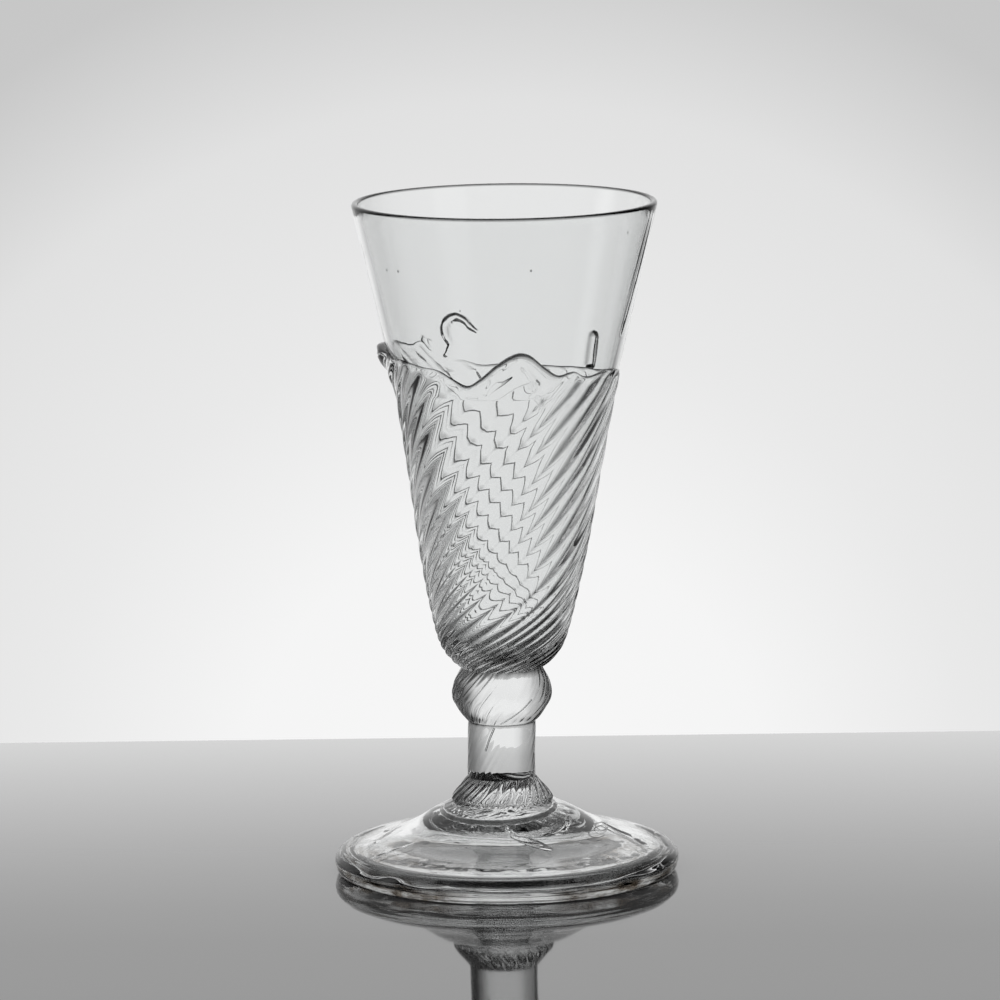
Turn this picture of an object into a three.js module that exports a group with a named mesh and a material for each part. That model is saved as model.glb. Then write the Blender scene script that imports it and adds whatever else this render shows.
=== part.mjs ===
// A dwarf ale glass in clear lead glass, blown and worked by hand.
// Millimetres, +Z up. The origin is the middle of the ring on which the foot rests.
// Angles are measured from the front (-Y), positive towards +X.

import * as THREE from "three";

// Overall size
const HEIGHT = 127;
const RIM_RADIUS = 28.5;
const FOOT_RADIUS = 32.4;

// Bowl: a thin first gather, a straight cone above CONE_START and rounded below it
const WALL = 1.1;
const LIP_RADIUS = WALL / 2;
const LIP_HEIGHT = HEIGHT - LIP_RADIUS;
const CONE_START = 81.3;
const CONE_START_RADIUS = 18.0;
const BOWL_BOTTOM = 42.6;
const CAVITY_BOTTOM = 46.9;

// Overlay: a ribbed second gather round the lower bowl, with its edge pulled up into flames
const RIBS = 24;
const RIB_DEPTH = 0.34;
const NECK_HEIGHT = 39;
const NECK_RADIUS = 7.55;
const TWISTED_TOP = 88;
const TWISTED_TOP_RADIUS = 20.15;
const EDGE_HEIGHT = 95.3;
const EDGE_WAVE = 1.8;
const EDGE_WAVE_ANGLE = -25;
const EDGE_THICKNESS = 0.45;
const EDGE_BEVEL = 0.8;
const FLAMES = [
  { angle: 7, rise: 4.6, spread: 23 },
  { angle: -92, rise: 5.0, spread: 30 },
  { angle: -130, rise: 4.2, spread: 9 },
  { angle: -156, rise: 8.4, spread: 14 },
  { angle: 131, rise: 7.4, spread: 9 },
];

// Twist of the ribs: steady in the upper bowl, quicker towards the neck, in degrees a millimetre
const UPPER_TWIST = 2.8;
const NECK_TWIST = 10.9;
const NECK_TWIST_REACH = 8.15;
const STEM_TWIST = 5;

// Knop, stem and the flared boss that seats them on the foot
const KNOP_BOTTOM = 28.8;
const KNOP_RADIUS = 9.4;
const STEM_BOTTOM = 18.2;
const STEM_RADIUS = 6.4;
const STEM_RIB_DEPTH = 0.12;
const BOSS_BOTTOM = 13.6;
const BOSS_RADIUS = 9.5;

// Foot: a kicked cone, with its edge turned under as a narrow fold
const FOOT_CROWN_RADIUS = 30.8;
const FOOT_CROWN_HEIGHT = 4.95;
const FOLD_HEIGHT = 2.3;
const FOLD_INNER_RADIUS = 28.0;
const REST_INNER_RADIUS = 29.3;
const REST_OUTER_RADIUS = 31.4;
const KICK_HEIGHT = 10.1;
const KICK_RADIUS = 9.2;

// Pontil scar under the foot
const SCAR_RADIUS = 7.4;
const SCAR_DEPTH = 1.1;
const SCAR_WAVES = 7;
const SCAR_WAVE_DEPTH = 0.5;

// The glass stands a little out of true: the axis shifts sideways with height
const LEAN = [
  [0, 0],
  [6, 0],
  [14, -0.7],
  [30, -0.6],
  [46, -0.35],
  [62, 0.05],
  [CONE_START, 0.6],
  [HEIGHT, 1.0],
];

// Sides of the turned bodies: four to each rib on ribbed glass
const RIBBED_SIDES = RIBS * 4;
const FOOT_SIDES = 72;
const SCAR_SIDES = 28;

const DEGREE = Math.PI / 180;
const at = (radius, height) => new THREE.Vector2(radius, height);

// Sideways shift of the axis at a height.
function leanAt(height) {
  const above = LEAN.findIndex(([level]) => level > height);
  if (above < 1) return above === 0 ? LEAN[0][1] : LEAN[LEAN.length - 1][1];
  const [lowLevel, lowShift] = LEAN[above - 1];
  const [highLevel, highShift] = LEAN[above];
  return THREE.MathUtils.mapLinear(height, lowLevel, highLevel, lowShift, highShift);
}

// Turn of the ribs at a height, in radians from where the twisted part ends at the top.
function twistAt(height) {
  const spiral = (level) => {
    const bowlLevel = Math.max(level, NECK_HEIGHT);
    const quick = Math.exp((NECK_HEIGHT - bowlLevel) / NECK_TWIST_REACH);
    const stemTurn = STEM_TWIST * Math.min(level - NECK_HEIGHT, 0);
    return UPPER_TWIST * bowlLevel - NECK_TWIST * NECK_TWIST_REACH * quick + stemTurn;
  };
  return (spiral(height) - spiral(TWISTED_TOP)) * DEGREE;
}

// Outside of the first gather on its straight cone.
function coneRadius(height) {
  return THREE.MathUtils.mapLinear(height, CONE_START, LIP_HEIGHT, CONE_START_RADIUS, RIM_RADIUS);
}

// Height of the overlay's edge at an angle in degrees from the front.
function edgeAt(angle) {
  const wave = EDGE_WAVE * Math.cos((angle - EDGE_WAVE_ANGLE) * DEGREE);
  return FLAMES.reduce((height, flame) => {
    const away = Math.abs(THREE.MathUtils.euclideanModulo(angle - flame.angle + 180, 360) - 180);
    const share = Math.min(away / flame.spread, 1);
    return height + (flame.rise * (1 + Math.cos(Math.PI * share))) / 2;
  }, EDGE_HEIGHT + wave);
}

// How far the surface lies under the crest of its rib: round lobes between sharp grooves.
function grooveDepth(angle, height, depth) {
  const turn = ((angle - twistAt(height)) * RIBS) / (2 * Math.PI);
  const across = THREE.MathUtils.euclideanModulo(turn, 1);
  return depth * (1 - Math.sin(Math.PI * across));
}

// A closed body turned from an outline of (radius, height) points. It runs from the axis or from
// the inside, outwards and up, and back. The shape moves each point of the turned surface.
function turned(outline, sides, shape) {
  const geometry = new THREE.LatheGeometry(outline, sides);
  const position = geometry.getAttribute("position");
  for (let index = 0; index < position.count; index += 1) {
    const row = index % outline.length;
    const side = Math.floor(index / outline.length) % sides;
    const angle = (2 * Math.PI * side) / sides;
    const plain = { radius: outline[row].x, height: outline[row].y, angle };
    const point = shape ? { ...plain, ...shape(plain, row) } : plain;
    const x = point.radius * Math.sin(point.angle) + leanAt(point.height);
    position.setXYZ(index, x, -point.radius * Math.cos(point.angle), point.height);
  }
  geometry.computeVertexNormals();
  return geometry;
}

// A ribbed shape whose rows follow the twist, so that every groove stays sharp.
function ribbed(depthAt) {
  return ({ radius, height, angle }) => {
    const turnedAngle = angle + twistAt(height);
    const groove = radius > 0 ? grooveDepth(turnedAngle, height, depthAt(height)) : 0;
    return { radius: radius - groove, angle: turnedAngle };
  };
}

const curve = (points, rows) => new THREE.SplineCurve(points).getPoints(rows);

// Lower outside of the first gather, which is also the inside of the overlay.
const bowlOutside = curve(
  [
    at(0, BOWL_BOTTOM),
    at(6, BOWL_BOTTOM + 0.8),
    at(9.6, 46.2),
    at(12, 51.5),
    at(14.6, 61.5),
    at(CONE_START_RADIUS, CONE_START),
  ],
  7,
);

// First gather: thin drinking wall, fire-polished lip and a round closed bottom.
function bowl() {
  const lip = new THREE.EllipseCurve(
    RIM_RADIUS - LIP_RADIUS, LIP_HEIGHT, LIP_RADIUS, LIP_RADIUS, 0, Math.PI,
  ).getPoints(6);
  const cavity = curve(
    [
      at(CONE_START_RADIUS - 1.3, CONE_START),
      at(12.9, 61.5),
      at(10.2, 52),
      at(6.2, CAVITY_BOTTOM + 0.9),
      at(0, CAVITY_BOTTOM),
    ],
    7,
  );
  return turned([...bowlOutside, ...lip, ...cavity], RIBBED_SIDES);
}

// Second gather: wrythen ribs up to the flame edge, open above and solid at the neck.
function wrythenOverlay() {
  const outside = curve(
    [
      at(NECK_RADIUS, NECK_HEIGHT),
      at(9.6, 40.6),
      at(11.85, 44),
      at(13.9, 51.7),
      at(16.1, 63),
      at(18.15, 76),
      at(TWISTED_TOP_RADIUS, TWISTED_TOP),
    ],
    17,
  );
  const upright = outside.length + 1;
  const bevelRow = at(coneRadius(EDGE_HEIGHT) + EDGE_THICKNESS, EDGE_HEIGHT);
  const edgeRow = at(coneRadius(EDGE_HEIGHT), EDGE_HEIGHT);
  const inside = [...bowlOutside].reverse();
  const outline = [at(0, NECK_HEIGHT), ...outside, bevelRow, edgeRow, ...inside];
  const depthAt = (height) => RIB_DEPTH * THREE.MathUtils.smoothstep(height, 37, 46);
  const ribs = ribbed((height) => STEM_RIB_DEPTH + depthAt(height));
  return turned(outline, RIBBED_SIDES, (point, row) => {
    if (row < upright) return ribs(point);
    if (row > upright + 1) return {};
    const edge = edgeAt(point.angle / DEGREE);
    const height = row === upright ? edge - EDGE_BEVEL : edge;
    const thickness = row === upright ? EDGE_THICKNESS : 0;
    return { height, radius: coneRadius(height) + thickness };
  });
}

// Wrythen knop under the bowl.
function knop() {
  const outside = curve(
    [
      at(STEM_RADIUS, KNOP_BOTTOM),
      at(7.6, 30.2),
      at(9.1, 32.6),
      at(KNOP_RADIUS, 34.4),
      at(8.8, 36.8),
      at(NECK_RADIUS, NECK_HEIGHT),
    ],
    8,
  );
  const outline = [at(0, KNOP_BOTTOM), ...outside, at(0, NECK_HEIGHT)];
  return turned(outline, RIBBED_SIDES, ribbed(() => STEM_RIB_DEPTH));
}

// Short plain stem, with faint ribs drawn down from the knop.
function stem() {
  const outline = [
    at(0, STEM_BOTTOM),
    at(STEM_RADIUS, STEM_BOTTOM),
    at(STEM_RADIUS - 0.05, (STEM_BOTTOM + KNOP_BOTTOM) / 2),
    at(STEM_RADIUS, KNOP_BOTTOM),
    at(0, KNOP_BOTTOM),
  ];
  return turned(outline, RIBBED_SIDES, ribbed(() => STEM_RIB_DEPTH));
}

// Flared, ribbed boss that spreads the stem on to the foot.
function boss() {
  const outside = curve(
    [
      at(BOSS_RADIUS - 0.1, BOSS_BOTTOM),
      at(BOSS_RADIUS, 14.3),
      at(8.8, 15.4),
      at(7.6, 16.8),
      at(STEM_RADIUS, STEM_BOTTOM),
    ],
    5,
  );
  const outline = [at(0, BOSS_BOTTOM), ...outside, at(0, STEM_BOTTOM)];
  return turned(outline, RIBBED_SIDES, ribbed(() => STEM_RIB_DEPTH));
}

// Foot: a cone that flattens to a thick crown at its edge, kicked up underneath.
function foot() {
  const top = curve(
    [
      at(FOOT_CROWN_RADIUS, FOOT_CROWN_HEIGHT),
      at(28.5, 5.95),
      at(25, 6.7),
      at(21, 7.8),
      at(17, 9.6),
      at(13, 11.9),
      at(BOSS_RADIUS, BOSS_BOTTOM),
    ],
    9,
  );
  const kick = curve(
    [
      at(KICK_RADIUS, KICK_HEIGHT),
      at(13.6, 8.6),
      at(19, 6.0),
      at(24.5, 4.3),
      at(FOLD_INNER_RADIUS, FOLD_HEIGHT),
    ],
    7,
  );
  const outline = [
    at(0, KICK_HEIGHT),
    ...kick,
    at(FOOT_RADIUS, FOLD_HEIGHT),
    at(FOOT_RADIUS - 0.35, FOLD_HEIGHT + 1.2),
    ...top,
    at(0, BOSS_BOTTOM),
  ];
  return turned(outline, FOOT_SIDES);
}

// The narrow fold: the edge of the foot turned under, with the flat ring it rests on.
function footFold() {
  const outline = [
    at(FOLD_INNER_RADIUS, FOLD_HEIGHT),
    at(FOLD_INNER_RADIUS + 0.2, 0.9),
    at(REST_INNER_RADIUS, 0),
    at(REST_OUTER_RADIUS, 0),
    at(FOOT_RADIUS - 0.3, 0.8),
    at(FOOT_RADIUS, FOLD_HEIGHT),
    at(FOLD_INNER_RADIUS, FOLD_HEIGHT),
  ];
  return turned(outline, FOOT_SIDES);
}

// Rough scar where the pontil rod was broken away, under the middle of the foot.
function pontilScar() {
  const outline = [
    at(0, KICK_HEIGHT - SCAR_DEPTH),
    at(SCAR_RADIUS * 0.55, KICK_HEIGHT - SCAR_DEPTH * 0.8),
    at(SCAR_RADIUS, KICK_HEIGHT - SCAR_DEPTH * 0.45),
    at(SCAR_RADIUS, KICK_HEIGHT),
    at(0, KICK_HEIGHT),
  ];
  return turned(outline, SCAR_SIDES, ({ radius, angle }) => ({
    radius: radius - (radius / SCAR_RADIUS) * SCAR_WAVE_DEPTH * Math.sin(SCAR_WAVES * angle) ** 2,
  }));
}

// Clear glass, a shade apart in each gather so that the joints can be told.
function glass(color) {
  return new THREE.MeshStandardMaterial({ color, roughness: 0.03, metalness: 0 });
}

const pieces = {
  bowl: [bowl(), "#dfe6e8"],
  wrythen_overlay: [wrythenOverlay(), "#c9d3d6"],
  knop: [knop(), "#b9c6ca"],
  stem: [stem(), "#d3dcde"],
  stem_boss: [boss(), "#aebcc1"],
  foot: [foot(), "#d7dfe1"],
  foot_fold: [footFold(), "#bdc9cc"],
  pontil_scar: [pontilScar(), "#a3b0b4"],
};

const aleGlass = new THREE.Group();
Object.entries(pieces).forEach(([name, [geometry, color]]) => {
  const mesh = new THREE.Mesh(geometry, glass(color));
  mesh.name = name;
  aleGlass.add(mesh);
});

export default aleGlass;
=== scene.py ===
import math

import bmesh
import bpy
import numpy as np
from mathutils import Matrix, Vector


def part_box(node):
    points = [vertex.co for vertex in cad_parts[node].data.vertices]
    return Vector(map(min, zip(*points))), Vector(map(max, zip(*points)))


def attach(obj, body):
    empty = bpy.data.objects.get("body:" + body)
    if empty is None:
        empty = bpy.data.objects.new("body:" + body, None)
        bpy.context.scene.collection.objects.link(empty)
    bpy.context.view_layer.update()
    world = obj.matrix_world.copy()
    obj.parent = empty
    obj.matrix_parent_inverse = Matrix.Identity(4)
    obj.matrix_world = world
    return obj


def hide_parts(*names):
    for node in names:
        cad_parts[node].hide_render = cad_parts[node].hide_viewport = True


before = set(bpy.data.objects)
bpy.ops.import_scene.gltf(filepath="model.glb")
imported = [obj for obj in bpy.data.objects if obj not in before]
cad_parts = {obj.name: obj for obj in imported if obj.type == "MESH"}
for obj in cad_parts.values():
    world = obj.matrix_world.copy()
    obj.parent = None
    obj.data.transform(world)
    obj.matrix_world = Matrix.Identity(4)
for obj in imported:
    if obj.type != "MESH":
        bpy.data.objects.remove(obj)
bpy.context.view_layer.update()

# A dwarf ale glass in clear lead glass. Shapes are worked out in millimetres, with +Z up, the
# front towards -Y and angles measured from the front, positive towards +X. The finished meshes
# are in metres. The whole glass is one skin that runs from the middle of the foot's underside
# out to its edge, up to the lip and down inside the bowl. Fused glass has no surface inside, so
# each piece is a stretch of that skin, and its edge shares its points with the next piece.
MM = 0.001


def low(node):
    """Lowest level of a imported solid, in millimetres."""
    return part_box(node)[0].z / MM


def high(node):
    """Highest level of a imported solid, in millimetres."""
    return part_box(node)[1].z / MM


def reach(node):
    """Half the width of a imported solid, in millimetres."""
    lowest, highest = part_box(node)
    return (highest.x - lowest.x) / 2 / MM


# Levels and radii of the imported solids
HEIGHT = high("bowl")
RIM_RADIUS = reach("bowl")
NECK = high("knop")
KNOP_BOTTOM = low("knop")
STEM_BOTTOM = low("stem")
BOSS_BOTTOM = low("stem_boss")
KICK_TOP = high("pontil_scar")
FOOT_RADIUS = reach("foot_fold")

# Bowl
LIP_RADIUS = 0.65
LIP_HEIGHT = HEIGHT - LIP_RADIUS
CONE_START = 81.3
CONE_START_RADIUS = 18.0
CAVITY_BOTTOM = 41.4
FLAMES_END = 105.0

# Overlay
RIBS = 24
VALLEY_HALF = 0.3
RIB_DEPTH = 0.25
CREASE_DEPTH = 0.45
CREASE_HALF_WIDTH = 0.18
UNEVEN = 0.05
# How much deeper the ribs are at both sides, how much more on the left, and how much they vary
SIDE_RIBS = 1.15
LEFT_RIBS = 0.2
RIBS_VARY = 0.15
# Levels between which the ribs grow from the knop's depth to the overlay's
RIBS_GROW = (37, 60)
# How far under the edge the ribs fade out, and how much farther at the front tip
RIBS_FADE = 2
TIP_FADE = 7
TIP_ANGLE = 7
TIP_REACH = 13
# The creases lie behind: where they start and where they are full, by angle to the right and to
# the left of the front, and by level
CREASED_RIGHT = (118, 150)
CREASED_LEFT = (92, 125)
CREASED_LEVEL = (39, 42)
NECK_RADIUS = 7.55
TWIST_LEVEL = 88.0
TWISTED_TOP = 92.5
TWISTED_TOP_RADIUS = 21.1
EDGE_LEVEL = 95.3
EDGE_ROUND = 0.45
BEAD_ROUND = 0.7

# Twist of the ribs in degrees a millimetre
UPPER_TWIST = 2.8
NECK_TWIST = 10.9
NECK_TWIST_REACH = 8.15
STEM_TWIST = 5.0
SLACK_TWIST = 1.1
SLACK_LEVEL = 79.0

# Stem and foot
STEM_RADIUS = 6.4
JOINT_RADIUS = 6.1
KNOP_RIB_DEPTH = 0.2
KNOP_CREASE_DEPTH = 0.3
STEM_RIB_DEPTH = 0.02
# Share of a rib's depth where the ribs are weakest, what the strongest ribs add to it, and how
# strong the boss's ribs are
WEAK_RIBS = 0.2
STRONG_RIBS = 1.3
BOSS_RIBS = 0.8
# Where ribs are strong, by how far left or right they are as a share of the radius, and how the
# front half ends
STRONG_LEFT = (-0.05, 0.45)
STRONG_RIGHT = (0.72, 0.95)
FRONT_HALF = (-0.2, 0.2)
BOSS_RADIUS = 9.5
BOSS_FOOT_RADIUS = 9.4
FOLD_HEIGHT = 2.3
FOLD_INNER_RADIUS = 29.2
SCAR_RADIUS = 9.2
SCAR_SHIFT = -1.2
SCAR_SHIFT_ENDS = 17
SCAR_RIDGES = (0.2, 0.12, 0.06)
SCAR_CLOSENESS = 0.16
KICK_RIPPLE = 0.015
BROKEN_EDGE = 0.16
BROKEN_EDGE_FADES = (10.3, 12.3)
FOLD_UNEVEN = 0.05
AIR_RADIUS = 30.75
AIR_HEIGHT = 2.5
AIR_HALF_WIDTH = 0.9
AIR_HALF_HEIGHT = 0.16

# Columns of the mesh, how closely they gather at the creases, and two lengths in millimetres: how
# near points are merged, and how far a point may lie off a line that it belongs to
COLUMNS_PER_RIB = 24
CLUSTER = 0.8
WELD = 1e-4
SLIP = 0.01


def smooth_through(places, values):
    """A smooth function through the given values, level past both ends."""
    places, values = np.array(places, float), np.array(values, float)
    slopes = np.gradient(values, places)

    def at(place):
        place = np.clip(place, places[0], places[-1])
        i = np.clip(np.searchsorted(places, place, side="right") - 1, 0, len(places) - 2)
        span = places[i + 1] - places[i]
        t = (place - places[i]) / span
        start = (1 + 2 * t) * (1 - t) ** 2 * values[i] + t * (1 - t) ** 2 * span * slopes[i]
        end = t * t * (3 - 2 * t) * values[i + 1] + t * t * (t - 1) * span * slopes[i + 1]
        return start + end

    return at


def smoothstep(value, start, end):
    t = np.clip((value - start) / (end - start), 0, 1)
    return t * t * (3 - 2 * t)


# The glass stands a little out of true: the axis shifts sideways with height.
lean = smooth_through(
    [0, 6, 14, 30, 46, 62, CONE_START, HEIGHT],
    [0, 0, -0.7, -0.6, -0.35, 0.05, 0.6, 1.0],
)

# Height of the overlay's edge by angle from the front
EDGE = [
    (-180, 93.7), (-167, 93.5), (-156, 94.6), (-147, 95.2), (-138, 96.4), (-131, 98.7), (-122, 98.6),
    (-110, 99.6), (-96, 100.4), (-84, 99.7), (-72, 98.9), (-60, 98.9), (-45, 98.2), (-33, 97.6),
    (-26, 96.2), (-19, 95.2), (-12, 96.8), (-4, 99.4), (3, 101.1), (7, 101.5), (11, 101.1), (18, 98.9),
    (26, 96.9), (36, 97.2), (41, 96.3), (60, 96.7), (80, 95.6), (100, 94.4), (120, 93.6), (131, 93.6),
    (150, 93.4), (180, 93.7),
]
edge_height = smooth_through([a for a, h in EDGE], [h for a, h in EDGE])

# How far the overlay's rounded edge stands out of the bowl, by angle
EDGE_BEAD = [
    (-180, 0.3), (-125, 0.35), (-108, 1.4), (-97, 3.2), (-88, 2.1), (-78, 0.6), (-60, 0.3), (-32, 0.25),
    (-24, 0.6), (-16, 1.8), (-12, 2.5), (-3, 2.0), (7, 1.6), (14, 1.9), (20, 2.2), (25, 1.1),
    (31, 0.45), (44, 0.35), (80, 0.25), (110, 0.25), (180, 0.3),
]
edge_bead = smooth_through([a for a, b in EDGE_BEAD], [b for a, b in EDGE_BEAD])

# Threads of hot glass that stuck to the wall: how steep each is, then angle, height and half width
# of its points
HOOK = 1.3, [
    (-147, 92.8, 0.6), (-144.5, 94.6, 0.5), (-147.8, 95.9, 0.45), (-150.5, 97.6, 0.6),
    (-148.6, 99.5, 1.05), (-149.3, 101.2, 1.1), (-154.5, 102.5, 0.85), (-159.5, 101.8, 0.65),
    (-163, 100.3, 0.5), (-165.6, 99.6, 0.35),
]
FINGER = 0.55, [(126.5, 92.5, 1.8), (127.5, 96.5, 1.75), (128, 98.9, 1.6)]
KNOT = 1.3, [
    (-131, 98.6, 0.35), (-134, 99.4, 0.3), (-132, 97.6, 0.35), (-136, 97, 0.3), (-137.5, 98.6, 0.3),
]
DRAG = 0.1, [(78, 122.5, 0.7), (75, 113, 1.4), (70, 103, 0.9)]
THREADS = [HOOK, FINGER, KNOT, DRAG]
THREAD_STEPS = 4

# Creases pressed into the front tip
TIP_CREASES = [
    (-0.5, [(6, 100.2, 0.3), (11, 97.5, 0.5), (16, 94.5, 0.6), (19, 90.5, 0.3)]),
    (-0.2, [(2, 100, 0.5), (-4, 97.5, 0.8), (-9, 94, 0.6)]),
]


def wrapped(angle):
    """An angle in radians as degrees from -180 to 180."""
    return (np.degrees(angle) + 180) % 360 - 180


def twist(height):
    """Turn of the ribs at a height, in radians from where the twisted part ends at the top."""

    def spiral(level):
        bowl_level = np.maximum(level, NECK)
        quick = np.exp((NECK - bowl_level) / NECK_TWIST_REACH)
        stem_turn = STEM_TWIST * np.minimum(level - NECK, 0)
        return UPPER_TWIST * bowl_level - NECK_TWIST * NECK_TWIST_REACH * quick + stem_turn

    return np.radians(spiral(height) - spiral(TWIST_LEVEL))


def slack(angle, height):
    """Where the back of the bowl was twisted less than the front, in radians."""
    return np.radians(SLACK_TWIST * (1 - np.cos(angle)) / 2 * np.clip(height - SLACK_LEVEL, 0, None))


def cone(height):
    """Outside of the first gather where it is straight."""
    rise = (RIM_RADIUS - CONE_START_RADIUS) / (LIP_HEIGHT - CONE_START)
    return CONE_START_RADIUS + rise * (height - CONE_START)


def groove(phase, radius, depth, crease):
    """How far the surface lies under the crest of its rib: round ribs and wider round valleys, with
    a crease where they meet. The phase is the angle from the middle of a valley."""
    across = np.abs((phase * RIBS / math.tau + 0.5) % 1 - 0.5)
    bend = depth / (VALLEY_HALF * 0.5)
    rib = bend * VALLEY_HALF / (0.5 - VALLEY_HALF) * (0.5 - across) ** 2
    wave = np.where(across > VALLEY_HALF, rib, depth - bend * across**2)
    side = (phase * RIBS / math.tau + 0.5) % 1 - 0.5
    away = np.abs(side - VALLEY_HALF) * math.tau * radius / RIBS
    return wave + crease * np.clip(1 - away / CREASE_HALF_WIDTH, 0, 1)


def gathered(angle):
    """Draws the columns together where ribs and valleys meet."""
    place = angle * RIBS / math.pi + 0.5
    part = np.floor(place)
    along = place - part
    along = along - CLUSTER * np.sin(math.tau * along) / math.tau
    valley = part % 2 == 0
    start = np.floor(part / 2) + np.where(valley, -VALLEY_HALF, VALLEY_HALF)
    return (start + along * np.where(valley, 2 * VALLEY_HALF, 1 - 2 * VALLEY_HALF)) * math.tau / RIBS


def uneven(phase):
    """Ribs of a hand-made mould aren't all equally wide."""
    return phase + UNEVEN * (np.sin(3 * phase + 0.7) + 0.6 * np.sin(5 * phase + 2.1))


def beside_line(x, y, end_x, end_y):
    """For a line from (0, 0) to its end: how far along it the nearest spot lies, from 0 to 1, and
    how far off that is."""
    along = np.clip((x * end_x + y * end_y) / (end_x**2 + end_y**2), 0, 1)
    return along, np.hypot(x - along * end_x, y - along * end_y)


def thread_rise(threads, angle, height):
    """How far the stuck threads stand out of the wall."""
    radius = cone(height)
    rise = np.zeros_like(height)
    for steepness, thread in threads:
        thread = curve(thread, THREAD_STEPS * (len(thread) - 1))
        for (a0, h0, w0), (a1, h1, w1) in zip(thread, thread[1:]):
            across = np.radians(wrapped(angle - math.radians(a0))) * radius
            sideways = math.radians(a1 - a0) * cone((h0 + h1) / 2)
            along, gap = beside_line(across, height - h0, sideways, h1 - h0)
            half = w0 + (w1 - w0) * along
            swell = steepness * half * (1 - np.clip(gap / half, 0, 1) ** 2)
            rise = np.where(np.abs(swell) > np.abs(rise), swell, rise)
    return rise


def wobble(angle, seed, slowest, fastest):
    """An irregular wave round the axis, mostly between -1 and 1."""
    chance = np.random.default_rng(seed)
    total = 0
    for waves in range(slowest, fastest + 1):
        total = total + chance.uniform(0.3, 1) * np.sin(waves * angle + chance.uniform(0, math.tau))
    return total / math.sqrt(fastest - slowest + 1)


def curve(points, rows):
    """Points along a smooth curve through (radius, height) points."""
    points = [points[0], *points, points[-1]]
    spans = len(points) - 3
    found = []
    for row in range(rows + 1):
        place = row / rows * spans
        i = min(int(place), spans - 1)
        t = place - i
        a, b, c, d = (np.array(p, float) for p in points[i : i + 4])
        bend = 2 * a - 5 * b + 4 * c - d
        turn = 3 * b - a - 3 * c + d
        found.append(0.5 * (2 * b + (c - a) * t + bend * t**2 + turn * t**3))
    return found


def straight(start, end, rows, power=1.0):
    """Points along a straight line, closer together at its start where power is over 1."""
    start, end = np.array(start, float), np.array(end, float)
    return [start + (end - start) * (row / rows) ** power for row in range(rows + 1)]


def joined(*runs):
    """One outline from runs that meet end to end."""
    outline = [runs[0][0]]
    for run in runs:
        outline += list(run[1:])
    return outline


def turned_skin(work, outline):
    """Turns an outline of (radius, height) points that runs with the glass on its left: one rib's
    width is spun, and copies of it close the circle. Its faces look away from the glass."""
    chain = [work.verts.new((0, -radius, height)) for radius, height in outline]
    edges = [work.edges.new(pair) for pair in zip(chain, chain[1:])]
    run, rise = Vector(outline[1]) - Vector(outline[0])
    away = Vector((0, -rise, -run))
    width = math.tau / RIBS
    old = set(work.faces)
    bmesh.ops.spin(
        work, geom=chain + edges, cent=(0, 0, 0), axis=(0, 0, 1), angle=width, steps=COLUMNS_PER_RIB
    )
    strip = [face for face in work.faces if face not in old]
    rim = list({edge for face in strip for edge in face.edges})
    corners = list({vert for face in strip for vert in face.verts})
    bmesh.ops.spin(
        work, geom=corners + rim + strip, cent=(0, 0, 0), axis=(0, 0, 1), angle=math.tau - width,
        steps=RIBS - 1, use_duplicate=True,
    )
    skin = [face for face in work.faces if face not in old]
    corners = list({vert for face in skin for vert in face.verts})
    bmesh.ops.remove_doubles(work, verts=corners, dist=WELD)
    skin = [face for face in work.faces if face not in old]
    bmesh.ops.recalc_face_normals(work, faces=skin)
    nearest = min(skin, key=lambda face: (face.calc_center_median() - chain_middle(outline)).length)
    if nearest.normal.dot(away) < 0:
        bmesh.ops.reverse_faces(work, faces=skin)


def chain_middle(outline):
    """Middle of an outline's first stretch, where it starts its turn."""
    (radius, height), (next_radius, next_height) = outline[:2]
    return Vector((0, -(radius + next_radius) / 2, (height + next_height) / 2))


def piece(name, outlines, shape, material):
    """A finished piece: a turned skin whose points are moved by shape(angle, radius, height)."""
    work = bmesh.new()
    for outline in outlines:
        turned_skin(work, outline)
    mesh = bpy.data.meshes.new(name)
    work.to_mesh(mesh)
    work.free()
    place = np.zeros(len(mesh.vertices) * 3)
    mesh.vertices.foreach_get("co", place)
    x, y, z = place.reshape(-1, 3).T
    angle, radius, height = shape(np.arctan2(x, -y), np.hypot(x, y), z)
    moved = np.stack([radius * np.sin(angle) + lean(height), -radius * np.cos(angle), height], 1)
    mesh.vertices.foreach_set("co", (moved * MM).ravel())
    mesh.shade_smooth()
    mesh.materials.append(material)
    made = bpy.data.objects.new(name, mesh)
    bpy.context.scene.collection.objects.link(made)
    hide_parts(name)
    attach(made, "root")
    return made


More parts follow.
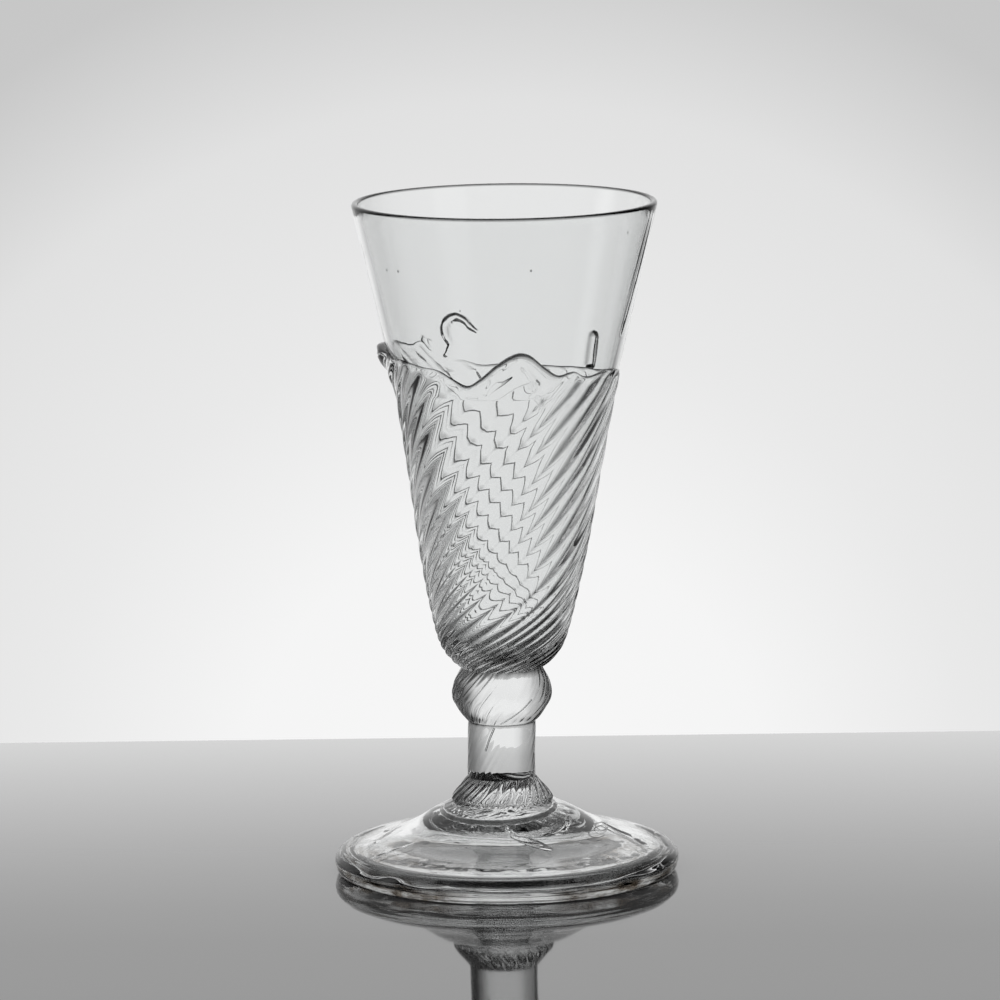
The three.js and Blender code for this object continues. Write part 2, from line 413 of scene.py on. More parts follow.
def hollow_out(made, bubbles, curls):
    """Adds closed bubbles to a piece: their faces look into the air inside them."""
    work = bmesh.new()
    work.from_mesh(made.data)
    glass_faces = set(work.faces)
    for middle, size, heading, slope in bubbles:
        ball = bmesh.ops.create_uvsphere(work, u_segments=24, v_segments=12, radius=0.5)["verts"]
        bmesh.ops.scale(work, verts=ball, vec=Vector(size) * MM)
        bmesh.ops.rotate(work, verts=ball, matrix=Matrix.Rotation(math.radians(slope), 3, "Y"))
        bmesh.ops.rotate(work, verts=ball, matrix=Matrix.Rotation(math.radians(heading), 3, "Z"))
        bmesh.ops.translate(work, verts=ball, vec=Vector(middle) * MM)
    for half, path in curls:
        line = bpy.data.curves.new("curl", "CURVE")
        line.dimensions = "3D"
        line.bevel_depth = half * MM
        line.bevel_resolution = 2
        line.use_fill_caps = True
        spline = line.splines.new("NURBS")
        spline.points.add(len(path) - 1)
        for point, place in zip(spline.points, path):
            point.co = (*(Vector(place) * MM), 1)
        spline.order_u = 3
        spline.use_endpoint_u = True
        spline.resolution_u = 5
        holder = bpy.data.objects.new("curl", line)
        tube = bpy.data.meshes.new_from_object(holder)
        work.from_mesh(tube)
        bpy.data.objects.remove(holder)
        bpy.data.curves.remove(line)
        bpy.data.meshes.remove(tube)
    walls = [face for face in work.faces if face not in glass_faces]
    bmesh.ops.recalc_face_normals(work, faces=walls)
    bmesh.ops.reverse_faces(work, faces=walls)
    work.to_mesh(made.data)
    work.free()
    made.data.shade_smooth()


def ribbed(depth, notch, all_round=False):
    """A shape whose columns follow the twist, so that every groove stays sharp. Its ribs are deepest
    on the left and right edge of its front, or equally deep all round."""

    def shape(angle, radius, height):
        phase = gathered(angle)
        angle = uneven(phase) + twist(height)
        side = np.sin(angle)
        front = smoothstep(np.cos(angle), *FRONT_HALF)
        strong = (smoothstep(-side, *STRONG_LEFT) + smoothstep(side, *STRONG_RIGHT)) * front
        if all_round:
            strong = BOSS_RIBS
        own_depth = depth * (WEAK_RIBS + STRONG_RIBS * strong)
        return angle, radius - groove(phase, radius, own_depth, notch * strong), height

    return shape


# Bowl
def warped(angle, height):
    """Slides the rows between the twisted part and the plain wall on to the overlay's edge."""
    edge = edge_height(wrapped(angle))
    under = TWISTED_TOP + (height - TWISTED_TOP) * (edge - TWISTED_TOP) / (EDGE_LEVEL - TWISTED_TOP)
    over = FLAMES_END + (height - FLAMES_END) * (FLAMES_END - edge) / (FLAMES_END - EDGE_LEVEL)
    inside = np.where(height < EDGE_LEVEL, under, over)
    return np.where((height > TWISTED_TOP) & (height < FLAMES_END), inside, height)


def bowl_shape(angle, radius, height):
    outside = (height > EDGE_LEVEL - SLIP) & (height < LIP_HEIGHT + SLIP)
    outside = outside & (radius > cone(height) - SLIP)
    phase = gathered(angle)
    angle = uneven(phase) - slack(phase, TWISTED_TOP) + twist(TWISTED_TOP)
    risen = np.where(outside, warped(angle, height), height)
    threads = thread_rise(THREADS, angle, risen) * smoothstep(height, EDGE_LEVEL, EDGE_LEVEL + 0.5)
    return angle, np.where(outside, cone(risen) + threads, radius), risen


def bowl_outlines():
    edge = (cone(EDGE_LEVEL), EDGE_LEVEL)
    flames_end = (cone(FLAMES_END), FLAMES_END)
    lip_middle = RIM_RADIUS - LIP_RADIUS
    lip = [
        (lip_middle + LIP_RADIUS * math.cos(turn), LIP_HEIGHT + LIP_RADIUS * math.sin(turn))
        for turn in np.linspace(0, math.pi, 13)
    ]
    inside_start = (CONE_START_RADIUS - 1.3, CONE_START)
    cavity = curve(
        [
            inside_start, (13.6, 61.5), (12, 52), (11.2, 48), (9.8, 45), (7.4, 42.9), (4.2, 41.8),
            (0, CAVITY_BOTTOM),
        ],
        rows=48,
    )
    return [joined(
        straight(edge, flames_end, rows=66),
        straight(flames_end, lip[0], rows=10),
        lip,
        straight(lip[-1], inside_start, rows=20),
        cavity,
    )]


# Overlay
def overlay_outlines():
    outside = curve(
        [
            (NECK_RADIUS, NECK), (9.6, 40.6), (11.85, 44), (13.9, 51.7), (16.1, 63), (18.15, 76),
            (20.15, 88), (TWISTED_TOP_RADIUS, TWISTED_TOP),
        ],
        rows=122,
    )
    top = (cone(EDGE_LEVEL), EDGE_LEVEL)
    flames = straight(top, (TWISTED_TOP_RADIUS, TWISTED_TOP), rows=30, power=1.5)
    return [joined(outside, flames[::-1])]


def overlay_ribs(angle, phase, height, below):
    """Depth of the ribs and of the creases between them, which is less in some stretches."""
    from_front = wrapped(angle)
    smooth_edge = RIBS_FADE + TIP_FADE * np.exp(-((from_front - TIP_ANGLE) / TIP_REACH) ** 2)
    fade = smoothstep(below, 0, smooth_edge)
    grown = smoothstep(height, *RIBS_GROW)
    sides = SIDE_RIBS * np.abs(np.sin(angle)) ** 1.5 + LEFT_RIBS * np.clip(-np.sin(angle), 0, 1)
    depth = (KNOP_RIB_DEPTH + (RIB_DEPTH - KNOP_RIB_DEPTH) * grown) * fade
    depth = depth * (1 + sides + RIBS_VARY * wobble(phase, 5, 4, 9))
    behind = smoothstep(from_front, *CREASED_RIGHT) + smoothstep(-from_front, *CREASED_LEFT)
    breaks = np.sin(2.3 * height + 7 * phase) + 0.6 * np.sin(5.1 * height - 13 * phase)
    whole = 0.35 + 0.65 * smoothstep(breaks + 0.03 * (height - 62), -0.6, 0.2)
    crease = CREASE_DEPTH * fade * smoothstep(height, *CREASED_LEVEL) * behind * whole
    return depth, crease


def overlay_shape(angle, radius, height):
    phase = gathered(angle)
    twisted = height <= TWISTED_TOP + SLIP
    level = np.minimum(height, TWISTED_TOP)
    angle = uneven(phase) + twist(level) - slack(phase, level)
    risen = warped(angle, height)
    edge = edge_height(wrapped(angle))
    slope = (edge_height(wrapped(angle + 0.01)) - edge) / (0.01 * cone(edge))
    below = (edge - risen) / np.sqrt(1 + slope**2)
    bead = edge_bead(wrapped(angle))
    roundness = np.sqrt(1 - (1 - np.clip(below / (EDGE_ROUND + BEAD_ROUND * bead), 0, 1)) ** 2)
    start_thickness = TWISTED_TOP_RADIUS - cone(TWISTED_TOP)
    share = (risen - TWISTED_TOP) / (edge - TWISTED_TOP)
    body = cone(risen) + (start_thickness + (bead - start_thickness) * share) * roundness
    phase = np.where(twisted, phase, phase - twist(risen) + twist(TWISTED_TOP))
    depth, crease = overlay_ribs(angle, phase, height, below)
    pressed = thread_rise(TIP_CREASES, angle, risen) * smoothstep(below, 0.3, 1.5)
    grooved = np.where(twisted, radius, body) - groove(phase, radius, depth, crease)
    return angle, grooved + pressed, risen


# Knop, stem and boss
def knop_outlines():
    outline = [
        (JOINT_RADIUS, KNOP_BOTTOM), (6.75, 29.2), (7.6, 30.2), (9.1, 32.6), (9.4, 34.4), (8.8, 36.8),
        (NECK_RADIUS, NECK),
    ]
    return [curve(outline, rows=48)]


def stem_outlines():
    middle = (STEM_BOTTOM + KNOP_BOTTOM) / 2
    outline = [
        (STEM_RADIUS, STEM_BOTTOM), (STEM_RADIUS - 0.05, middle), (STEM_RADIUS, KNOP_BOTTOM - 0.5),
        (JOINT_RADIUS, KNOP_BOTTOM),
    ]
    return [curve(outline, rows=60)]


def boss_outlines():
    outline = [
        (BOSS_FOOT_RADIUS, BOSS_BOTTOM), (BOSS_RADIUS, 14.3), (8.8, 15.4), (7.6, 16.8),
        (STEM_RADIUS, STEM_BOTTOM),
    ]
    return [curve(outline, rows=32)]


# Foot
FOOT_TOP = [
    (30.9, 4.75), (29, 5.6), (25, 6.7), (21, 7.8), (17, 9.6), (13, 11.9),
    (BOSS_FOOT_RADIUS, BOSS_BOTTOM),
]


def foot_outlines():
    side = [(FOOT_RADIUS, FOLD_HEIGHT), (FOOT_RADIUS - 0.25, FOLD_HEIGHT + 1.2), FOOT_TOP[0]]
    kick = [
        (SCAR_RADIUS, KICK_TOP), (9.45, 9.9), (9.75, 9.15), (10.3, 8.95), (13.6, 8.35), (17, 7.1),
        (19, 6.25), (21, 5.5), (23, 4.95), (25, 4.5), (27.4, 3.95), (28.8, 3.4),
        (FOLD_INNER_RADIUS, FOLD_HEIGHT),
    ]
    return [curve(kick, rows=60), joined(curve(side, rows=12), curve(FOOT_TOP, rows=62))]


def foot_turn(angle):
    """The foot's columns start where the boss's end."""
    return uneven(gathered(angle)) + twist(BOSS_BOTTOM)


def shifted(angle, radius, shift):
    """Moves points sideways, because the scar isn't in the middle, and gives their new angle and
    radius."""
    x, y = radius * np.sin(angle) + shift, -radius * np.cos(angle)
    return np.arctan2(x, -y), np.hypot(x, y)


def foot_top(radius):
    """Height of the foot's top."""
    return np.interp(radius, *zip(*FOOT_TOP[::-1]))


# Shallow tool marks on the foot: depth, then x, y and half width of each point
TOOL_MARKS = [
    (0.16, [(18.7, -0.5, 0.5), (22, -3, 0.9), (25.5, -8, 0.6)]),
    (0.22, [(25, 9, 0.6), (28, 3, 1.1), (29.7, -4, 0.6)]),
    (0.2, [(-29, -2.5, 0.5), (-27.5, 5, 0.9), (-23.5, 10, 0.6)]),
    (0.12, [(-24.2, -3, 0.5), (-22.5, 1, 0.8), (-20.5, 5, 0.5)]),
    (0.1, [(-25.1, -14.7, 0.2), (-20.9, -13, 0.35), (-17.1, -11.9, 0.2)]),
]
MARK_WIDTH = 1.6


def tool_marks(angle, radius):
    x, y = radius * np.sin(angle), -radius * np.cos(angle)
    depth = np.zeros_like(x)
    for deepest, points in TOOL_MARKS:
        for (x0, y0, w0), (x1, y1, w1) in zip(points, points[1:]):
            along, gap = beside_line(x - x0, y - y0, x1 - x0, y1 - y0)
            half = (w0 + (w1 - w0) * along) * MARK_WIDTH
            depth = np.maximum(depth, deepest * (1 - smoothstep(gap, 0, half)) * half)
    return depth


def foot_shape(angle, radius, height):
    turned = foot_turn(angle)
    underneath = height < foot_top(radius) - 1
    between = (radius > SCAR_RADIUS + 0.1) & (radius < FOLD_INNER_RADIUS - 0.1)
    on_top = (height > foot_top(radius) - 0.3) & (radius > BOSS_RADIUS + 1)
    sunk = np.where(on_top, tool_marks(turned, radius), 0)
    to_fold = FOLD_INNER_RADIUS - radius
    ripple = KICK_RIPPLE * wobble(turned, 11, 3, 14) * smoothstep(radius, 22, 26) * to_fold / 6
    near_scar = 1 - smoothstep(radius, *BROKEN_EDGE_FADES)
    broken_edge = smoothstep(radius, SCAR_RADIUS, SCAR_RADIUS + 0.6) * near_scar
    rough = BROKEN_EDGE * wobble(turned, 12, 2, 26) * broken_edge
    risen = height - sunk + np.where(underneath & between, ripple + rough, 0)
    beside_scar = underneath * (1 - smoothstep(radius, SCAR_RADIUS, SCAR_SHIFT_ENDS))
    beside_boss = smoothstep(-radius, -BOSS_RADIUS - 3, -BOSS_FOOT_RADIUS) * (height > KICK_TOP + 1)
    radius = radius - groove(gathered(angle), radius, KNOP_RIB_DEPTH * beside_boss, 0)
    return *shifted(turned, radius, SCAR_SHIFT * beside_scar), risen


def fold_outlines():
    """The folded edge, and the flat air line that it closed in, run the other way round."""
    outside = curve(
        [
            (FOLD_INNER_RADIUS, FOLD_HEIGHT), (29.3, 0.9), (29.9, 0), (30.9, 0),
            (FOOT_RADIUS - 0.45, 0.8), (FOOT_RADIUS, FOLD_HEIGHT),
        ],
        rows=28,
    )
    air = [
        (AIR_RADIUS + AIR_HALF_WIDTH * math.cos(turn), AIR_HEIGHT + AIR_HALF_HEIGHT * math.sin(turn))
        for turn in np.linspace(0, -math.tau, 17)
    ]
    return [outside, air]


def fold_shape(angle, radius, height):
    """The air line wanders and swells, and the inside of the fold is a little uneven."""
    turned = foot_turn(angle)
    side, up = radius - AIR_RADIUS, height - AIR_HEIGHT
    air = np.hypot(side, up * AIR_HALF_WIDTH / AIR_HALF_HEIGHT) < AIR_HALF_WIDTH * 1.1
    wider = 1 + 0.35 * wobble(turned, 22, 5, 30)
    thicker = 1 + 0.4 * wobble(turned, 24, 5, 30)
    air_radius = AIR_RADIUS + 0.25 * wobble(turned, 21, 2, 9) + side * wider
    air_height = AIR_HEIGHT + 0.14 * wobble(turned, 23, 3, 16) + up * thicker
    near_inside = smoothstep(-radius, -FOLD_INNER_RADIUS - 0.9, -FOLD_INNER_RADIUS - 0.1)
    inner = near_inside * smoothstep(FOLD_HEIGHT - height, 0, 0.6)
    uneven_radius = radius + FOLD_UNEVEN * inner * wobble(turned, 25, 3, 12)
    risen = np.maximum(np.where(air, air_height, height), 0)
    return turned, np.where(air, air_radius, uneven_radius), risen


def scar_outlines():
    outline = [
        (0, KICK_TOP - 0.4), (SCAR_RADIUS * 0.6, KICK_TOP - 0.3), (SCAR_RADIUS - 0.8, KICK_TOP - 0.1),
        (SCAR_RADIUS, KICK_TOP),
    ]
    return [curve(outline, rows=40)]


def scar_shape(angle, radius, height):
    """The rod broke away unevenly and left a rough disc: ridges of three sizes, the small ones close
    together, and a ragged edge."""
    turned = foot_turn(angle)
    x, y = radius * np.sin(turned), -radius * np.cos(turned)
    chance = np.random.default_rng(31)
    ridges = np.zeros_like(x)
    for size in SCAR_RIDGES:
        heading = chance.uniform(0, math.pi)
        along = x * math.cos(heading) + y * math.sin(heading)
        ridges += size * np.abs(np.sin(SCAR_CLOSENESS / size * along + chance.uniform(0, 3)))
    inside = smoothstep(KICK_TOP - height, 0, 0.3)
    ragged = radius * (1 + 0.05 * inside * wobble(turned, 32, 4, 40))
    return *shifted(turned, ragged, SCAR_SHIFT), height + inside * (ridges - SCAR_RIDGES[0])


# Materials
GLASS_TINT = (0.966, 0.974, 0.973, 1)
FOLD_DARK_TINT = (0.1, 0.08, 0.06, 1)
SCAR_TINT = (0.95, 0.96, 0.96, 1)
GLASS_IOR = 1.54
# Where the fold is tinted dark brown, by distance from the middle, level and distance to the side
FOLD_DARK_RADII = (27.5 * MM, 28.5 * MM)
FOLD_DARK_LEVELS = (2.2 * MM, 3.4 * MM)
FOLD_DARK_SIDES = (7 * MM, 13 * MM)
WORN_LEVELS = (0.1 * MM, 0.5 * MM)
CORD_DEPTH = 0.03 * MM
CHIP_DEPTH = 0.1 * MM


# What both kinds of glass take from their group of nodes
SURFACE = [("Roughness", "NodeSocketFloat"), ("Normal", "NodeSocketVector")]


def new_group(name, outputs):
    """An empty group of nodes with the given outputs."""
    tree = bpy.data.node_groups.new(name, "ShaderNodeTree")
    for label, kind in outputs:
        tree.interface.new_socket(label, in_out="OUTPUT", socket_type=kind)
    return tree, tree.nodes.new("NodeGroupOutput")


def noise(tree, place, scale, detail, stretch=(1, 1, 1)):
    """Noise over a place, from 0 to 1."""
    mapping = tree.nodes.new("ShaderNodeMapping")
    mapping.inputs["Scale"].default_value = stretch
    tree.links.new(place, mapping.inputs["Vector"])
    made = tree.nodes.new("ShaderNodeTexNoise")
    made.inputs["Scale"].default_value = scale
    made.inputs["Detail"].default_value = detail
    tree.links.new(mapping.outputs["Vector"], made.inputs["Vector"])
    return made.outputs["Fac"]


def mapped(tree, value, from_range, to_range):
    """Stretches one range of a value to another, level past both ends."""
    made = tree.nodes.new("ShaderNodeMapRange")
    for label, number in zip(("From Min", "From Max", "To Min", "To Max"), (*from_range, *to_range)):
        made.inputs[label].default_value = number
    tree.links.new(value, made.inputs["Value"])
    return made.outputs["Result"]


def maths(tree, operation, *values):
    """One step of arithmetic with sockets and plain numbers."""
    made = tree.nodes.new("ShaderNodeMath")
    made.operation = operation
    for socket, value in zip(made.inputs, values):
        if isinstance(value, (int, float)):
            socket.default_value = value
        else:
            tree.links.new(value, socket)
    return made.outputs["Value"]


def times(tree, *values):
    return maths(tree, "MULTIPLY", *values)


def grey_ramp(tree, value, stops):
    """A grey that follows (value, grey) stops."""
    low, high = stops[0][0], stops[-1][0]
    made = tree.nodes.new("ShaderNodeValToRGB")
    tree.links.new(mapped(tree, value, (low, high), (0, 1)), made.inputs["Fac"])
    elements = made.color_ramp.elements
    elements.remove(elements[-1])
    for place, grey in stops:
        elements.new((place - low) / (high - low)).color = (grey, grey, grey, 1)
    elements.remove(elements[0])
    return made.outputs["Color"]


def bumped(tree, height, distance):
    made = tree.nodes.new("ShaderNodeBump")
    made.inputs["Distance"].default_value = distance
    tree.links.new(height, made.inputs["Height"])
    return made.outputs["Normal"]


def glass_detail():
    """Cords and fine waves in the glass, wear where it stands, and a dark brown tint in the fold."""
    tree, end = new_group("glass_detail", [("Base Color", "NodeSocketColor"), *SURFACE])
    place = tree.nodes.new("ShaderNodeTexCoord").outputs["Object"]
    split = tree.nodes.new("ShaderNodeSeparateXYZ")
    tree.links.new(place, split.inputs["Vector"])
    flat = tree.nodes.new("ShaderNodeVectorMath")
    flat.operation = "MULTIPLY"
    flat.inputs[1].default_value = (1, 1, 0)
    tree.links.new(place, flat.inputs[0])
    away = tree.nodes.new("ShaderNodeVectorMath")
    away.operation = "LENGTH"
    tree.links.new(flat.outputs["Vector"], away.inputs[0])
    radius, level = away.outputs["Value"], split.outputs["Z"]
    worn = mapped(tree, level, WORN_LEVELS, (0.3, 0))
    tree.links.new(times(tree, worn, noise(tree, place, 700, 4)), end.inputs["Roughness"])
    # A dark brown tint in the fold, weaker at the middle of the front and back, in patches
    outward = mapped(tree, radius, FOLD_DARK_RADII, (0, 1))
    in_fold = times(tree, outward, mapped(tree, level, FOLD_DARK_LEVELS, (1, 0)))
    less_at_middle = mapped(tree, maths(tree, "ABSOLUTE", split.outputs["X"]), FOLD_DARK_SIDES, (0.2, 1))
    patches = mapped(tree, noise(tree, place, 200, 4, (1, 1, 3)), (0.36, 0.6), (0, 1))
    fold_tinted = times(tree, times(tree, in_fold, less_at_middle), patches)
    blend = tree.nodes.new("ShaderNodeMix")
    blend.data_type = "RGBA"
    colours = [socket for socket in blend.inputs if socket.type == "RGBA"]
    colours[0].default_value = GLASS_TINT
    colours[1].default_value = FOLD_DARK_TINT
    tree.links.new(fold_tinted, blend.inputs["Factor"])
    tint = next(socket for socket in blend.outputs if socket.type == "RGBA")
    tree.links.new(tint, end.inputs["Base Color"])
    cords = noise(tree, place, 190, 2, (1, 1, 0.2))
    tree.links.new(bumped(tree, cords, CORD_DEPTH), end.inputs["Normal"])
    return tree


def scar_detail():
    """The broken glass of the scar: chips and splinters."""
    tree, end = new_group("scar_detail", SURFACE)
    place = tree.nodes.new("ShaderNodeTexCoord").outputs["Object"]
    dull = mapped(tree, noise(tree, place, 450, 3), (0.6, 0.8), (0, 0.15))
    tree.links.new(dull, end.inputs["Roughness"])
    chips = noise(tree, place, 260, 3, (1, 0.6, 1))
    tree.links.new(bumped(tree, chips, CHIP_DEPTH), end.inputs["Normal"])
    return tree


def glass_material(name, detail, tint):
    """Glass that takes what varies over its surface from a group of nodes."""
    material = bpy.data.materials.new(name)
    material.use_nodes = True
    nodes, links = material.node_tree.nodes, material.node_tree.links
    shader = nodes["Principled BSDF"]
    shader.inputs["Base Color"].default_value = tint
    shader.inputs["IOR"].default_value = GLASS_IOR
    shader.inputs["Transmission Weight"].default_value = 1.0
    group = nodes.new("ShaderNodeGroup")
    group.node_tree = detail
    for output in group.outputs:
        links.new(output, shader.inputs[output.name])
    return material


def clear_glass():
    return glass_material("clear_lead_glass", glass_detail(), GLASS_TINT)


def rough_glass():
    return glass_material("broken_glass", scar_detail(), SCAR_TINT)


# Bubbles in the foot: middle, size, heading and slope
FOOT_BUBBLES = [
    ((4.6, -17.0, 8.3), (9.6, 3.3, 0.5), -33, 8),
    ((14.7, -6.6, 9.3), (0.5, 0.35, 0.3), 20, 0),
    ((16.1, -1.0, 8.9), (0.7, 0.4, 0.3), 60, 0),
    ((-7.4, -17.6, 7.6), (0.35, 0.35, 0.3), 0, 0),
]


def in_foot(places, under):
    """Points a little under the foot's top."""
    return [(x, y, float(foot_top(math.hypot(x, y))) - under) for x, y in places]


CURL_PATH = [
    (18.2, 1.1), (16.7, -2.2), (16.3, -4.6), (17.5, -5.9), (18.4, -4.2), (18.9, -1.6), (18.8, 0.6),
    (17.9, 1.8),
]
TAIL_PATH = [(17.3, -5.6), (15.6, -7.2), (14.9, -9.4), (16, -10.4), (17.4, -9.2), (18.2, -7)]
# Half the thickness of each curled bubble, and its path a little under the foot's top
FOOT_CURLS = [(0.16, in_foot(CURL_PATH, 0.9)), (0.14, in_foot(TAIL_PATH, 1.1))]

# Seeds in the bowl's wall: angle in degrees, height and size
SEEDS = [
    (-49.5, 116.2, 0.36), (-57.2, 116.1, 0.3), (10.6, 117.1, 0.34), (55.9, 122.7, 0.3),
    (-20, 109.5, 0.22),
]


def in_wall(angle, height):
    """The middle of the bowl's wall."""
    radius, turn = cone(height) - LIP_RADIUS, math.radians(angle)
    return radius * math.sin(turn) + float(lean(height)), -radius * math.cos(turn), height


def seed(angle, height, size):
    """A small bubble, a little taller than wide."""
    return in_wall(angle, height), (size, size, size * 1.4), 0, 0


# A long thin bubble that was twisted with the stem: half thickness, then the points it runs through
KNOP_BUBBLE = 0.16, [(4.9, -7.1, 34), (3.1, -7.4, 32.2), (1.0, -7.2, 30.6), (-0.9, -6.2, 29.3)]
STEM_BUBBLE = 0.2, [(-2, -5.7, 28.4), (-2.6, -5.35, 26.9), (-3.2, -5, 25.3), (-3.6, -4.8, 23.8)]

glass = clear_glass()
broken = rough_glass()
bowl = piece("bowl", bowl_outlines(), bowl_shape, glass)
hollow_out(bowl, [seed(*values) for values in SEEDS], [])
piece("wrythen_overlay", overlay_outlines(), overlay_shape, glass)
knop = piece("knop", knop_outlines(), ribbed(KNOP_RIB_DEPTH, KNOP_CREASE_DEPTH), glass)
hollow_out(knop, [], [KNOP_BUBBLE])
stem = piece("stem", stem_outlines(), ribbed(STEM_RIB_DEPTH, 0), glass)
hollow_out(stem, [], [STEM_BUBBLE])
boss_ribs = ribbed(KNOP_RIB_DEPTH, KNOP_CREASE_DEPTH, all_round=True)
piece("stem_boss", boss_outlines(), boss_ribs, glass)
foot = piece("foot", foot_outlines(), foot_shape, glass)
hollow_out(foot, FOOT_BUBBLES, FOOT_CURLS)
piece("foot_fold", fold_outlines(), fold_shape, glass)
piece("pontil_scar", scar_outlines(), scar_shape, broken)


# Camera
CAMERA_PLACE = (-0.00047, -1.347, 0.2868)
CAMERA_PITCH = 9.117
CAMERA_ROLL = 0.7
CAMERA_LENS = 262.5


def make_camera():
    data = bpy.data.cameras.new("camera")
    data.lens = CAMERA_LENS
    data.sensor_width = 36
    camera = bpy.data.objects.new("camera", data)
    camera.location = CAMERA_PLACE
    tilt = Matrix.Rotation(math.radians(90 - CAMERA_PITCH), 4, "X")
    roll = Matrix.Rotation(math.radians(-CAMERA_ROLL), 4, "Z")
    camera.rotation_euler = (tilt @ roll).to_euler()
    bpy.context.scene.collection.objects.link(camera)
    bpy.context.scene.camera = camera


make_camera()

# Table top: a dark glossy sheet that looks pale at a flat angle. Its grey holds painted light, lighter
# towards the back as if the backdrop lit it, and a painted shadow in a band just in front of the glass
TABLE_HALF_WIDTH = 0.9
TABLE_THICKNESS = 0.02
TABLE_FRONT = -0.9
TABLE_BACK = 0.1315
TABLE_IOR = 1.8
TABLE_ROUGHNESS = (0.03, 0.055)
# Grey of the table top from front to back, at a flat angle: painted light that grows towards the back,
# and a painted shadow, darkest just in front of the glass
TABLE_PAINTED_GREY = [
    (-0.2, 0.4), (-0.125, 0.02), (-0.06, 0.02), (-0.03, 0.06), (0, 0.13), (0.03, 0.22), (0.06, 0.33),
    (0.09, 0.45), (TABLE_BACK, 0.64),
]
# Painted shade under the glass: how much of that grey is seen through the glass from above, and how
# flat a line of sight has to be before it shows less and before it shows all, from 0 straight down to 1
# level
TABLE_PAINTED_SHADE_SHARE = 0.1
FLAT_SIGHT = (0.6, 0.76)
# Grey of the table top for a camera well above it, and the slants between which it takes over
TABLE_PALE = 0.5
PALE_SIGHT = (0.72, 0.775)


def table_gloss():
    material = bpy.data.materials.new("table_gloss")
    material.use_nodes = True
    tree = material.node_tree
    shader = tree.nodes["Principled BSDF"]
    shader.inputs["IOR"].default_value = TABLE_IOR
    place = tree.nodes.new("ShaderNodeTexCoord").outputs["Object"]
    split = tree.nodes.new("ShaderNodeSeparateXYZ")
    tree.links.new(place, split.inputs["Vector"])
    # Painted light along the table, with a painted shadow in front of the glass
    grey = grey_ramp(tree, split.outputs["Y"], TABLE_PAINTED_GREY)
    slant = tree.nodes.new("ShaderNodeLayerWeight").outputs["Facing"]
    to_camera = tree.nodes.new("ShaderNodeLightPath").outputs["Is Camera Ray"]
    # Rays that reach the table through the glass from above see its grey darkened: painted shade under
    # the glass
    share = maths(tree, "MAXIMUM", mapped(tree, slant, FLAT_SIGHT, (TABLE_PAINTED_SHADE_SHARE, 1)), to_camera)
    pale = times(tree, mapped(tree, slant, PALE_SIGHT, (TABLE_PALE, 0)), to_camera)
    colour = maths(tree, "MAXIMUM", times(tree, grey, share), pale)
    tree.links.new(colour, shader.inputs["Base Color"])
    smears = mapped(tree, noise(tree, place, 60, 6, (1, 0.35, 1)), (0.35, 0.7), TABLE_ROUGHNESS)
    tree.links.new(smears, shader.inputs["Roughness"])
    return material


def make_table():
    work = bmesh.new()
    bmesh.ops.create_cube(work, size=1)
    size = Vector((TABLE_HALF_WIDTH * 2, TABLE_BACK - TABLE_FRONT, TABLE_THICKNESS))
    middle = Vector((0, (TABLE_BACK + TABLE_FRONT) / 2, -TABLE_THICKNESS / 2))
    bmesh.ops.scale(work, verts=work.verts, vec=size)
    bmesh.ops.translate(work, verts=work.verts, vec=middle)
    mesh = bpy.data.meshes.new("table_top")
    work.to_mesh(mesh)
    work.free()
    mesh.materials.append(table_gloss())
    table = bpy.data.objects.new("table_top", mesh)
    bpy.context.scene.collection.objects.link(table)


make_table()


# Light
DARK = 0.012
BACKDROP = 0.93
PLAIN_LIGHT = 0.8
# Brightness of the surroundings by compass angle, counterclockwise from +X, and by elevation
AROUND = [
    (-180, 0.7), (-173, 0.45), (-168, DARK), (-62, DARK), (-56, 0.3), (-34, 0.3), (-28, DARK),
    (20, 0.01), (38, 0.03), (48, 0.1), (57, 0.3), (64, 0.58), (71, 0.88), (80, 1), (104, 1),
    (113, 0.88), (121, 0.62), (131, 0.5), (143, 0.42), (155, 0.08), (167, DARK), (173, 0.45),
    (180, 0.7),
]
UPWARDS = [
    (-40, 0.15), (-27, 0.45), (-20, 0.6), (-14, 0.89), (4, 0.88), (9, 0.93), (14, 0.93), (20, 0.82),
    (38, 0.78), (50, 0.75), (60, 0.15), (75, 0.05),
]
SKY = [(25, 0), (45, 0.02), (70, 0.03)]
# Brightness of the backdrop by angle from its brightest spot, as the camera sees it
GLOW_MIDDLE = (0.0, 0.9803, -0.1977)
GLOW = [(0, 1), (2, 0.98), (3.6, 0.88), (5.4, 0.81), (6.8, 0.62), (8.2, 0.6), (16, 1)]


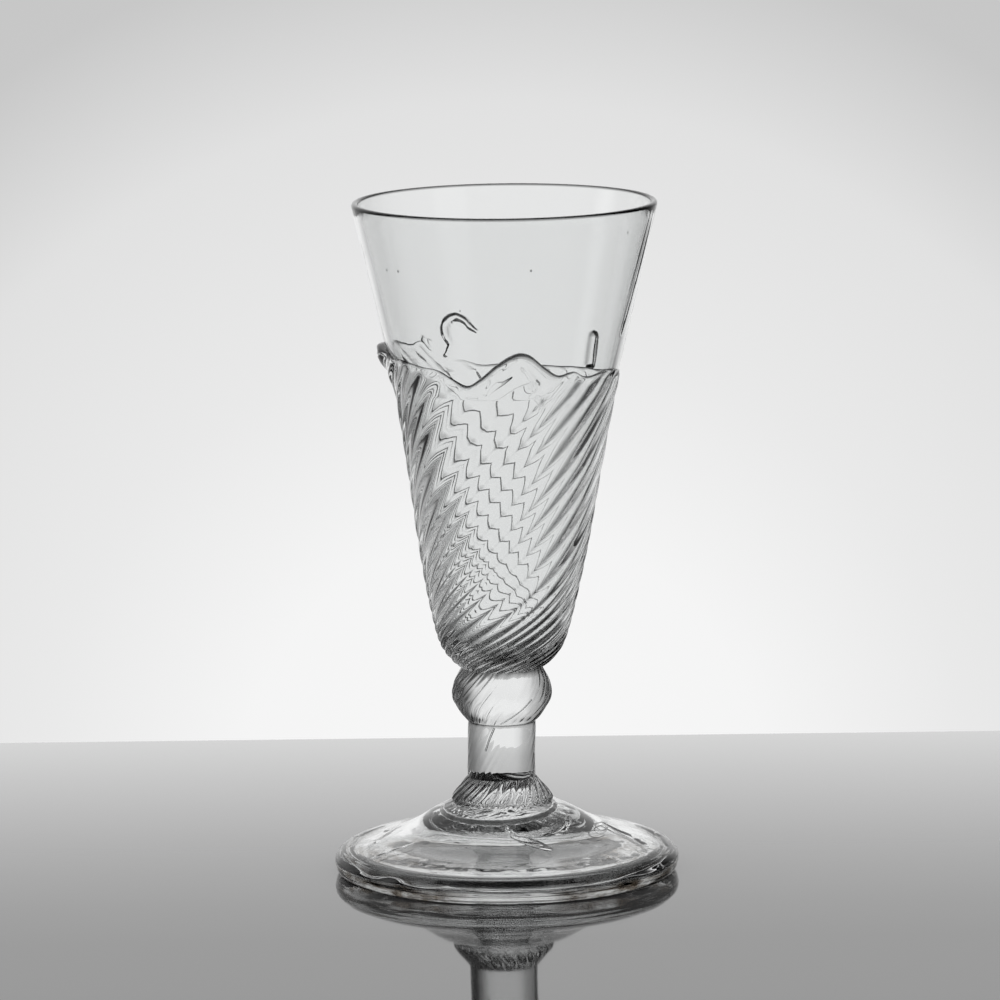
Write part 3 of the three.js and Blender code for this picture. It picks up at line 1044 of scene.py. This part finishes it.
def make_world():
    """Plain light on the table, surroundings that the glass and the gloss show, and a backdrop that
    only the camera sees."""
    world = bpy.data.worlds.new("studio")
    bpy.context.scene.world = world
    world.use_nodes = True
    tree = world.node_tree
    nodes, links = tree.nodes, tree.links
    place = nodes.new("ShaderNodeTexCoord").outputs["Generated"]
    split = nodes.new("ShaderNodeSeparateXYZ")
    links.new(place, split.inputs["Vector"])
    compass = maths(tree, "DEGREES", maths(tree, "ARCTAN2", split.outputs["Y"], split.outputs["X"]))
    elevation = maths(tree, "DEGREES", maths(tree, "ARCSINE", split.outputs["Z"]))
    panels = times(tree, grey_ramp(tree, compass, AROUND), grey_ramp(tree, elevation, UPWARDS))
    surroundings = maths(tree, "MAXIMUM", panels, grey_ramp(tree, elevation, SKY))
    facing = nodes.new("ShaderNodeVectorMath")
    facing.operation = "DOT_PRODUCT"
    facing.inputs[1].default_value = GLOW_MIDDLE
    links.new(place, facing.inputs[0])
    off_middle = maths(tree, "DEGREES", maths(tree, "ARCCOSINE", facing.outputs["Value"]))
    backdrop = times(tree, grey_ramp(tree, off_middle, GLOW), BACKDROP)
    path = nodes.new("ShaderNodeLightPath")
    shiny = maths(tree, "MAXIMUM", path.outputs["Is Glossy Ray"], path.outputs["Is Transmission Ray"])
    around = nodes.new("ShaderNodeMix")
    around.inputs["A"].default_value = PLAIN_LIGHT
    links.new(shiny, around.inputs["Factor"])
    links.new(surroundings, around.inputs["B"])
    seen = nodes.new("ShaderNodeMix")
    links.new(path.outputs["Is Camera Ray"], seen.inputs["Factor"])
    links.new(around.outputs["Result"], seen.inputs["A"])
    links.new(backdrop, seen.inputs["B"])
    links.new(seen.outputs["Result"], nodes["Background"].inputs["Color"])


make_world()

# Light goes through many surfaces of the glass before it reaches the camera.
GLASS_BOUNCES = 32
MIRROR_BOUNCES = 8
scene = bpy.context.scene
scene.view_settings.view_transform = "Standard"
scene.cycles.max_bounces = GLASS_BOUNCES
scene.cycles.transmission_bounces = GLASS_BOUNCES
scene.cycles.glossy_bounces = MIRROR_BOUNCES
scene.cycles.caustics_reflective = False
scene.cycles.caustics_refractive = False
